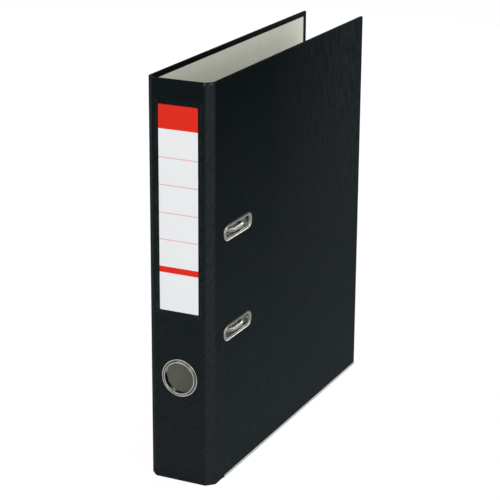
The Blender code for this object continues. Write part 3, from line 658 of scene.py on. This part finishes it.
def fold(u, depth):
    """Where a point of the unrolled case lies, seen from above, once the case is folded."""
    side = math.copysign(1.0, u)
    along = abs(u)
    corner = Vector((0.0, SPINE_FACE))
    reached = 0.0
    heading = 0.0
    for crease in CREASES:
        if along <= crease - BEND_REACH:
            break
        corner = corner + (crease - reached) * direction(heading)
        reached = crease
        share = (along - crease + BEND_REACH) / (2 * BEND_REACH)
        if share < 1.0:
            tangent = corner - BEND_REACH * direction(heading)
            centre = tangent + BEND_RADIUS * inward(heading)
            spot = centre + (depth - BEND_RADIUS) * inward(heading + share * FOLD_ANGLE)
            return side * spot.x, spot.y
        heading += FOLD_ANGLE
    spot = corner + (along - reached) * direction(heading) + depth * inward(heading)
    return side * spot.x, spot.y


def new_object(name, bm):
    """An object in the scene, from a mesh that is then freed."""
    mesh = bpy.data.meshes.new(name)
    bm.to_mesh(mesh)
    bm.free()
    made = bpy.data.objects.new(name, mesh)
    bpy.context.scene.collection.objects.link(made)
    return made


def bake_modifiers(piece):
    """Turns the result of a piece's modifiers into its mesh."""
    graph = bpy.context.evaluated_depsgraph_get()
    result = bpy.data.meshes.new_from_object(piece.evaluated_get(graph))
    piece.modifiers.clear()
    old = piece.data
    piece.data = result
    bpy.data.meshes.remove(old)


def cut(piece, tools):
    """Cuts tools out of a piece, and removes them."""
    for tool in tools:
        change = piece.modifiers.new("cut", "BOOLEAN")
        change.operation = "DIFFERENCE"
        change.solver = "EXACT"
        change.object = tool
        bake_modifiers(piece)
        bpy.data.objects.remove(tool, do_unlink=True)


def finish_piece(piece, material, sharp=SHARP):
    """Smooth shading that keeps flat faces flat, and the material."""
    piece.data.materials.clear()
    piece.data.materials.append(material)
    piece.data.shade_smooth()
    piece.data.set_sharp_from_angle(angle=math.radians(sharp))
    normals = piece.modifiers.new("normals", "WEIGHTED_NORMAL")
    normals.keep_sharp = True
    return piece


def loft(name, loops, closed=False):
    """A body through loops of equally many points: capped at both ends, or closed on itself."""
    bm = bmesh.new()
    rings = [[bm.verts.new(point) for point in loop] for loop in loops]
    pairs = list(zip(rings, rings[1:]))
    if closed:
        pairs.append((rings[-1], rings[0]))
    else:
        bm.faces.new(rings[0])
        bm.faces.new(rings[-1])
    for low, high in pairs:
        for i in range(len(low)):
            after = (i + 1) % len(low)
            bm.faces.new((low[i], low[after], high[after], high[i]))
    bmesh.ops.recalc_face_normals(bm, faces=bm.faces)
    return new_object(name, bm)


def arc(centre, radius, start, end, steps):
    """Points along an arc, with its angles in degrees."""
    angles = [math.radians(start + (end - start) * i / steps) for i in range(steps + 1)]
    return [(centre[0] + radius * math.cos(a), centre[1] + radius * math.sin(a)) for a in angles]


def circle(centre, radius, steps):
    """Points round a circle."""
    return arc(centre, radius, 0, 360, steps)[:-1]


def rounded(half_x, half_y, radius, steps=10):
    """A rectangle with round corners."""
    points = []
    for quarter, (sign_x, sign_y) in enumerate(((1, 1), (-1, 1), (-1, -1), (1, -1))):
        middle = (sign_x * (half_x - radius), sign_y * (half_y - radius))
        points += arc(middle, radius, 90 * quarter, 90 * quarter + 90, steps)
    return points


def slot_outline(growth_x, growth_z):
    """The outline of a slot, grown at its ends and at its sides."""
    radius = SLOT_CORNER + min(growth_x, growth_z)
    return rounded(SLOT_HALF_LENGTH + growth_x, SLOT_HALF_HEIGHT + growth_z, radius)


def hole_tools(outline, places):
    """Cutters through the unrolled case, at places (u, z)."""
    tools = []
    for u, z in places:
        loops = [[(u + a, depth, z + b) for a, b in outline] for depth in TOOL_DEPTHS]
        tools.append(loft("tool", loops))
    return tools


def middle_of(node):
    """The middle of a node's box."""
    low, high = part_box(node)
    return (low + high) / 2


def place_on_cover(node, side):
    """(u, z) of a node on the unrolled case, on the front cover (side 1) or the back cover (side -1)."""
    spot = middle_of(node)
    return side * (CREASES[1] + spot.y - SPINE_FACE - CHAMFER), spot.z


def holes_of(stretch):
    """Cutters for the holes in one stretch of the case."""
    if stretch == "front_cover":
        nodes = ("slot_eyelet_upper", "slot_eyelet_lower")
        outline = slot_outline(SLOT_HOLE_GROWTH, SLOT_HOLE_GROWTH)
        return hole_tools(outline, [place_on_cover(node, 1) for node in nodes])
    if stretch == "back_cover":
        nodes = [f"rivet_{number + 1}" for number in range(RIVET_COUNT)]
        outline = circle((0, 0), RIVET_HOLE, steps=20)
        return hole_tools(outline, [place_on_cover(node, -1) for node in nodes])
    return hole_tools(circle((0, 0), RING_HOLE, steps=64), [(0.0, RING_HEIGHT)])


def bisect(bm, axis, places):
    """Adds edges where planes across an axis meet a mesh."""
    for place in places:
        geometry = bm.verts[:] + bm.edges[:] + bm.faces[:]
        spot = Vector(axis) * place
        bmesh.ops.bisect_plane(bm, geom=geometry, dist=CUT_CLOSE, plane_co=spot, plane_no=axis)


def stations(low, high):
    """Places along u where the sheet needs points to bend."""
    found = set()
    for crease in CREASES:
        for step in BEND_STATIONS:
            for away in (-step, step):
                place = crease + away * BEND_REACH
                found |= {place, -place}
    return sorted(place for place in found if low + CLOSE < place < high - CLOSE)


def slab(low, high):
    """A box between two corners."""
    bm = bmesh.new()
    bmesh.ops.create_cube(bm, size=1.0)
    for vert in bm.verts:
        for axis in range(3):
            vert.co[axis] = low[axis] if vert.co[axis] < 0 else high[axis]
    return bm


def roll_up(piece):
    """Stores each point's place on the unrolled case as UVs, then folds the piece into its shape."""
    bm = bmesh.new()
    bm.from_mesh(piece.data)
    bm.normal_update()
    layer = bm.loops.layers.uv.new("unrolled")
    for face in bm.faces:
        level = max(range(3), key=lambda axis: abs(face.normal[axis]))
        for loop in face.loops:
            u, depth, z = loop.vert.co
            if level == 2:
                z += math.copysign(depth, z - MIDDLE)
            if level == 0 and abs(u) > CREASES[1] + STRIP:
                u += math.copysign(depth, u)
            loop[layer].uv = (u, z)
    for vert in bm.verts:
        x, y = fold(vert.co.x, vert.co.y)
        vert.co.x = x
        vert.co.y = y
    bmesh.ops.recalc_face_normals(bm, faces=bm.faces)
    bm.to_mesh(piece.data)
    bm.free()


def free_ends(low, high):
    """Whether a stretch ends at a fore-edge at its low end, and at its high end."""
    beyond = CREASES[1] + STRIP
    return low < -beyond, high > beyond


def turned_in(low, high):
    """The outer face of a stretch's covering, turned in over the edges of the boards."""
    free_low, free_high = free_ends(low, high)
    bm = slab((low, 0.0, CASE_LOW), (high, PANEL, CASE_HIGH))
    open_ends = []
    for face in bm.faces:
        at_low = face.normal.x < -0.5 and not free_low
        at_high = face.normal.x > 0.5 and not free_high
        if at_low or at_high:
            open_ends.append(face)
    bmesh.ops.delete(bm, geom=open_ends, context="FACES")
    edges = [edge for edge in bm.edges if len(edge.link_faces) == 2]
    bmesh.ops.bevel(bm, geom=edges, offset=EDGE_ROUND, segments=4, profile=0.5, affect="EDGES")
    inner_low = low + FORE_TURN_IN if free_low else low
    inner_high = high - FORE_TURN_IN if free_high else high
    foot = CASE_LOW + END_TURN_IN
    head = CASE_HIGH - END_TURN_IN
    bisect(bm, (0, 0, 1), (foot, head))
    bisect(bm, (1, 0, 0), [place for place in (inner_low, inner_high) if low < place < high])
    bisect(bm, (1, 0, 0), stations(low, high))
    bare = []
    for face in bm.faces:
        middle = face.calc_center_median()
        inside = abs(middle.y - PANEL) < CLOSE
        if inside and inner_low < middle.x < inner_high and foot < middle.z < head:
            bare.append(face)
    bmesh.ops.delete(bm, geom=bare, context="FACES")
    bmesh.ops.recalc_face_normals(bm, faces=bm.faces)
    outer = min(bm.faces, key=lambda face: face.calc_center_median().y)
    if outer.normal.y > 0:
        bmesh.ops.reverse_faces(bm, faces=bm.faces)
    return bm


def covering(name, low, high, holes):
    """The covering of one stretch of the case."""
    piece = new_object(name, turned_in(low, high))
    thick = piece.modifiers.new("sheet", "SOLIDIFY")
    thick.thickness = WRAP_SHEET
    thick.offset = -1.0
    thick.use_even_offset = True
    bake_modifiers(piece)
    cut(piece, holes)
    roll_up(piece)
    return finish_piece(piece, MATERIALS["black_paper"], SHARP_ON_FOLDS)


def lining(name, low, high, holes):
    """The lining paper of one stretch of the case."""
    free_low, free_high = free_ends(low, high)
    if free_low:
        low += FORE_TURN_IN
    if free_high:
        high -= FORE_TURN_IN
    near = PANEL - LINING_SHEET + LINING_PROUD
    far = PANEL + LINING_PROUD
    bm = slab((low, near, CASE_LOW + END_TURN_IN), (high, far, CASE_HIGH - END_TURN_IN))
    bisect(bm, (1, 0, 0), stations(low, high))
    piece = new_object(name, bm)
    cut(piece, holes)
    roll_up(piece)
    return finish_piece(piece, MATERIALS["grey_paper"], SHARP_ON_FOLDS)


def across(piece):
    """Bakes the placing of a piece into its mesh."""
    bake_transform(piece)


def build_case():
    """Covering and lining, in four stretches that each bend at one crease."""
    layers = ((covering, "wrap", "black_paper"), (lining, "lining", "grey_paper"))
    for name, low, high, crease, first, second in STRETCHES:
        for make, kind, slot_name in layers:
            piece = make(f"{name}_{kind}_sheet", low, high, holes_of(name))
            across(piece)
            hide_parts(*[f"{panel}_{kind}" for panel in PANELS_REPLACED[name]])


def clinched(flange):
    """Inside end of an eyelet: its wall through the panel and the flange rolled over the lining."""
    back = PANEL + LINING_PROUD + SEAT_GAP
    return (
        (EYELET_SHEET, back),
        (flange - 0.0002, back),
        (flange, back + 0.0002),
        (flange - 0.0001, back + 0.00042),
        (EYELET_SHEET, back + EYELET_SHEET),
        (0.0002, back + 0.0004),
        (0.0, back + 0.0001),
    )


def build_ring():
    """Finger ring: a rolled bead, a step, and the wall through the spine."""
    loops = []
    for growth, depth in RING_PROFILE + clinched(RING_BACK_FLANGE):
        ring = circle((0, RING_HEIGHT), RING_BORE + growth, steps=96)
        loops.append([(x, SPINE_FACE + depth, z) for x, z in ring])
    piece = loft("finger_ring_rolled", loops, closed=True)
    finish_piece(piece, MATERIALS["ring_nickel"], SHARP_ON_BEADS)
    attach(piece, "spine")
    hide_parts("finger_ring")


def build_eyelets():
    """Slot eyelets: a rim bead and an inner lip with a groove between them."""
    steps = [(share * SLOT_END_FLANGE, share * SLOT_SIDE_FLANGE, depth) for share, depth in SLOT_PROFILE]
    steps += [(growth, growth, depth) for growth, depth in clinched(SLOT_BACK_FLANGE)]
    for node in ("slot_eyelet_upper", "slot_eyelet_lower"):
        centre = middle_of(node)
        loops = []
        for end, side, depth in steps:
            outline = slot_outline(end, side)
            loops.append([(COVER_FACE - depth, centre.y + a, centre.z + b) for a, b in outline])
        piece = loft(node + "_rolled", loops, closed=True)
        finish_piece(piece, MATERIALS["slot_nickel"], SHARP_ON_BEADS)
        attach(piece, "front_cover")
        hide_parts(node)


def build_rails():
    """Rails folded from sheet round the bottom edges of the covers."""
    inner = RAIL_ROUND - RAIL_SHEET
    for node, body in (("front_edge_rail", "front_cover"), ("back_edge_rail", "back_cover")):
        low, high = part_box(node)
        left = (low.x + RAIL_ROUND, low.z + RAIL_ROUND)
        right = (high.x - RAIL_ROUND, low.z + RAIL_ROUND)
        section = [(low.x, high.z), (low.x, low.z + RAIL_ROUND)]
        section += arc(left, RAIL_ROUND, 180, 270, steps=5)
        section += arc(right, RAIL_ROUND, 270, 360, steps=5)
        section += [(high.x, high.z), (high.x - RAIL_SHEET, high.z)]
        section += arc(right, inner, 360, 270, steps=5)
        section += arc(left, inner, 270, 180, steps=5)
        section += [(low.x + RAIL_SHEET, high.z)]
        loops = [[(x, y, z) for x, z in section] for y in (low.y, high.y)]
        piece = finish_piece(loft(node + "_folded", loops), MATERIALS["rail_metal"])
        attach(piece, body)
        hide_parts(node)


def build_card():
    """The label card."""
    low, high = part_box("label_card")
    centre = (low + high) / 2
    size = (high - low) / 2
    outline = rounded(size.x, size.z, CARD_CORNER, steps=4)
    loops = [[(centre.x + a, y, centre.z + b) for a, b in outline] for y in (low.y, high.y)]
    card = finish_piece(loft("label_card_printed", loops), MATERIALS["label_paper"])
    layer = card.data.uv_layers.new(name="unrolled")
    for loop in card.data.loops:
        spot = card.data.vertices[loop.vertex_index].co
        layer.data[loop.index].uv = (spot.x, spot.z)
    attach(card, "spine")
    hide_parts("label_card")


def pocket_profile(face, foot):
    """Section of the pocket, from the back of its film round the welded rim to the front: inset and y."""
    flat = foot - WELD_FLAT
    ridge = foot - WELD_RIDGE
    return (
        (0.0060, face + FILM),
        (0.0035, face + FILM),
        (0.0030, foot),
        (0.0004, foot),
        (0.0, foot),
        (0.0, foot - 0.0001),
        (0.0002, flat),
        (WELD_INSET - 0.0004, flat),
        (WELD_INSET - 0.0002, ridge),
        (WELD_INSET + 0.0002, ridge),
        (WELD_INSET + 0.0004, flat),
        (0.0026, flat),
        (0.0034, face),
        (0.0060, face),
    )


def build_pocket():
    """The label's pocket of clear film, with a welded rim and a thumb cut."""
    low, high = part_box("label_pocket")
    centre = (low + high) / 2
    size = (high - low) / 2
    loops = []
    for inset, y in pocket_profile(low.y, SPINE_FACE - SEAT_GAP):
        corner = max(POCKET_CORNER - inset, POCKET_LEAST_CORNER)
        outline = rounded(size.x - inset, size.z - inset, corner, steps=6)
        loops.append([(centre.x + a, y, centre.z + b) for a, b in outline])
    pocket = loft("label_pocket_welded", loops)
    thumb = rounded(THUMB_HALF, THUMB_HALF, THUMB_CORNER, steps=8)
    thumb_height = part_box("label_card")[0].z - THUMB_DROP
    reach = [low.y + depth for depth in TOOL_DEPTHS]
    cut(pocket, [loft("tool", [[(centre.x + a, y, thumb_height + b) for a, b in thumb] for y in reach])])
    finish_piece(pocket, MATERIALS["clear_film"])
    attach(pocket, "spine")
    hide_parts("label_pocket")


def filleted(corners, steps=10):
    """Points along straight runs between square corners, each rounded to its radius."""
    points = [Vector(corners[0][0])]
    for (before, _), (corner, radius), (after, _) in zip(corners, corners[1:], corners[2:]):
        corner = Vector(corner)
        way_in = (Vector(before) - corner).normalized()
        way_out = (Vector(after) - corner).normalized()
        centre = corner + radius * (way_in + way_out)
        for i in range(steps + 1):
            turn = math.radians(90) * i / steps
            points.append(centre - radius * (way_out * math.cos(turn) + way_in * math.sin(turn)))
    points.append(Vector(corners[-1][0]))
    return points


def tube(name, path, radii, sides=24):
    """A round wire along a path."""
    loops = []
    turns = [2 * math.pi * k / sides for k in range(sides)]
    side = (path[1] - path[0]).orthogonal().normalized()
    for i, spot in enumerate(path):
        before = path[max(i - 1, 0)]
        after = path[min(i + 1, len(path) - 1)]
        heading = (after - before).normalized()
        side = (side - side.dot(heading) * heading).normalized()
        other = heading.cross(side)
        loops.append([spot + radii[i] * (math.cos(t) * side + math.sin(t) * other) for t in turns])
    return loft(name, loops)


def build_arches():
    """The arch wire: both arches, the shaft in its bearings, and the crank."""
    joint = next(j for j in frame["joints"] if j["name"] == "arch_swing")
    shaft = Vector(joint["pos_m"])
    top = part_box("arch_wire")[1].x - WIRE_RADIUS - shaft.x
    half = HOLE_PITCH / 2
    path = filleted([
        ((ARCH_TIP, ARCH_SPAN, half), 0.0),
        ((top, ARCH_SPAN, half), ARCH_BEND),
        ((top, 0, half), ARCH_BEND),
        ((0, 0, half), WIRE_BEND),
        ((0, 0, CRANK_HIGH), WIRE_BEND),
        ((0, CRANK_REACH, CRANK_HIGH), WIRE_BEND),
        ((0, CRANK_REACH, CRANK_LOW), WIRE_BEND),
        ((0, 0, CRANK_LOW), WIRE_BEND),
        ((0, 0, -half), WIRE_BEND),
        ((top, 0, -half), ARCH_BEND),
        ((top, ARCH_SPAN, -half), ARCH_BEND),
        ((ARCH_TIP, ARCH_SPAN, -half), 0.0),
    ])
    from_tip = Vector((1, 0, 0))
    first = [(path[0] + rise * from_tip, radius) for rise, radius in WIRE_NOSE]
    last = [(path[-1] + rise * from_tip, radius) for rise, radius in reversed(WIRE_NOSE)]
    whole = first + [(spot, WIRE_RADIUS) for spot in path[1:-1]] + last
    wire = tube("arch_wire_bent", [shaft + spot for spot, _ in whole], [radius for _, radius in whole])
    finish_piece(wire, MATERIALS["wire"], SHARP_ON_BEADS)
    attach(wire, "arches")
    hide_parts("arch_wire")


def rivet_profile(low, high):
    """Section of a rivet, from its outer dome to its inner one: (radius, x)."""
    outer_head = (high.z - low.z) / 2
    cover = -COVER_FACE - RIVET_GAP
    plate = high.x - RIVET_DOME
    turns = [math.radians(90 * i / DOME_STEPS) for i in range(DOME_STEPS + 1)]
    profile = []
    for turn in turns:
        radius = max(outer_head * math.sin(turn), DOME_TIP)
        profile.append((radius, cover - RIVET_DOME * math.cos(turn)))
    profile += [(outer_head, cover), (RIVET_SHANK, cover), (RIVET_SHANK, plate), (RIVET_INNER_HEAD, plate)]
    for turn in turns[:-1]:
        radius = max(RIVET_INNER_HEAD * math.cos(turn), DOME_TIP)
        profile.append((radius, plate + RIVET_DOME * math.sin(turn)))
    return profile


def build_rivets():
    """Domed heads of the rivets, outside on the back cover and inside on the plate."""
    for number in range(RIVET_COUNT):
        node = f"rivet_{number + 1}"
        centre = middle_of(node)
        loops = []
        for radius, x in rivet_profile(*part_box(node)):
            loops.append([(x, y, z) for y, z in circle((centre.y, centre.z), radius, steps=32)])
        piece = finish_piece(loft(node + "_domed", loops), MATERIALS["nickel"], SHARP_ON_FOLDS)
        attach(piece, "back_cover")
        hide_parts(node)


def soften(node, width, material):
    """Breaks the sharp edges of a CAD piece and gives it its material."""
    piece = frame["nodes"][node]
    weld = piece.modifiers.new("weld", "WELD")
    weld.merge_threshold = CLOSE
    bevel = piece.modifiers.new("bevel", "BEVEL")
    bevel.width = width
    bevel.segments = 2
    bevel.limit_method = "ANGLE"
    bevel.angle_limit = math.radians(SHARP)
    piece.data.shade_smooth()
    normals = piece.modifiers.new("normals", "WEIGHTED_NORMAL")
    normals.keep_sharp = True
    piece.data.materials.clear()
    piece.data.materials.append(material)


def dress_cad_pieces():
    """Materials and broken edges of the pieces that keep their CAD shape."""
    for panel in ("front_cover", "front_hinge", "spine", "back_hinge", "back_cover"):
        board = frame["nodes"][panel + "_board"]
        board.data.materials.clear()
        board.data.materials.append(MATERIALS["greyboard"])
    for node in ("base_plate", "lever"):
        soften(node, BROAD_EDGE, MATERIALS["nickel"])
    for node in ("post_upper", "post_lower", "lever_pin", "roller_pin", "opening_spring", "spring_rivet"):
        soften(node, FINE_EDGE, MATERIALS["nickel"])
    soften("roller", BROAD_EDGE, MATERIALS["roller_plastic"])


def build_world():
    """A world that is white to the eye and gives a softer fill of light."""
    world = bpy.data.worlds.new("studio")
    bpy.context.scene.world = world
    world.use_nodes = True
    sky = Nodes(world.node_tree)
    sky.tree.nodes.clear()
    fill = sky.node("ShaderNodeBackground", {"Color": WHITE, "Strength": WORLD_FILL})
    white = sky.node("ShaderNodeBackground", {"Color": WHITE, "Strength": 1.0})
    choice = sky.node("ShaderNodeMixShader", {0: sky.seen(), 1: fill.outputs[0], 2: white.outputs[0]})
    sky.node("ShaderNodeOutputWorld", {0: choice.outputs[0]})


def build_floor():
    """A floor that is white to the eye, with a trace of the object's shadow."""
    bm = bmesh.new()
    bmesh.ops.create_grid(bm, x_segments=1, y_segments=1, size=FLOOR_HALF)
    floor = new_object("floor", bm)
    paint = Paint("floor")
    paint.set(Base_Color=FLOOR_TONE, Roughness=0.9, Specular_IOR_Level=0.0)
    glow = paint.node("ShaderNodeEmission", {"Color": WHITE, "Strength": FLOOR_GLOW})
    share = paint.times(paint.seen(), FLOOR_GLOW_SHARE)
    ways = {0: share, 1: paint.shader.outputs[0], 2: glow.outputs[0]}
    choice = paint.node("ShaderNodeMixShader", ways)
    paint.put(paint.tree.nodes["Material Output"].inputs[0], choice.outputs[0])
    floor.data.materials.append(paint.material)


def build_lamps():
    """Soft lamps, all aimed at the object."""
    for name, place, size, power in LAMPS:
        lamp = bpy.data.lights.new(name, "AREA")
        lamp.size = size
        lamp.energy = power
        holder = bpy.data.objects.new(name, lamp)
        holder.location = place
        aim = LAMP_AIM - Vector(place)
        holder.rotation_euler = aim.to_track_quat("-Z", "Y").to_euler()
        bpy.context.scene.collection.objects.link(holder)


def build_camera():
    """The camera of the main view."""
    data = bpy.data.cameras.new("camera")
    data.lens = CAMERA_LENS
    data.sensor_width = CAMERA_SENSOR
    camera = bpy.data.objects.new("camera", data)
    level = math.cos(CAMERA_DIP)
    east = math.sin(CAMERA_AZIMUTH) * level
    north = math.cos(CAMERA_AZIMUTH) * level
    ahead = Vector((east, north, -math.sin(CAMERA_DIP)))
    turn = ahead.to_track_quat("-Z", "Y").to_matrix().to_4x4()
    roll = Matrix.Rotation(CAMERA_ROLL, 4, "Z")
    camera.matrix_world = Matrix.Translation(CAMERA_PLACE) @ turn @ roll
    bpy.context.scene.collection.objects.link(camera)
    bpy.context.scene.camera = camera


bpy.context.scene.view_settings.view_transform = "Standard"
MATERIALS = {
    "black_paper": black_covering(),
    "grey_paper": lining_paper(),
    "greyboard": greyboard(),
    "label_paper": label_paper(),
    "clear_film": clear_film(),
    "nickel": plated("nickel", NICKEL_TONE, (600.0, 600.0, 600.0), 0.2),
    "ring_nickel": ring_nickel(),
    "slot_nickel": slot_nickel(),
    "wire": plated("wire_nickel", WIRE_SHADED_TONE, (300.0, 300.0, 900.0), 0.3),
    "rail_metal": plated("rail_metal", RAIL_TONE, (900.0, 40.0, 900.0), 0.45, 0.4),
    "roller_plastic": roller_plastic(),
}
build_camera()
build_case()
build_ring()
build_eyelets()
build_rails()
build_card()
build_pocket()
build_arches()
build_rivets()
dress_cad_pieces()
build_world()
build_floor()
build_lamps()
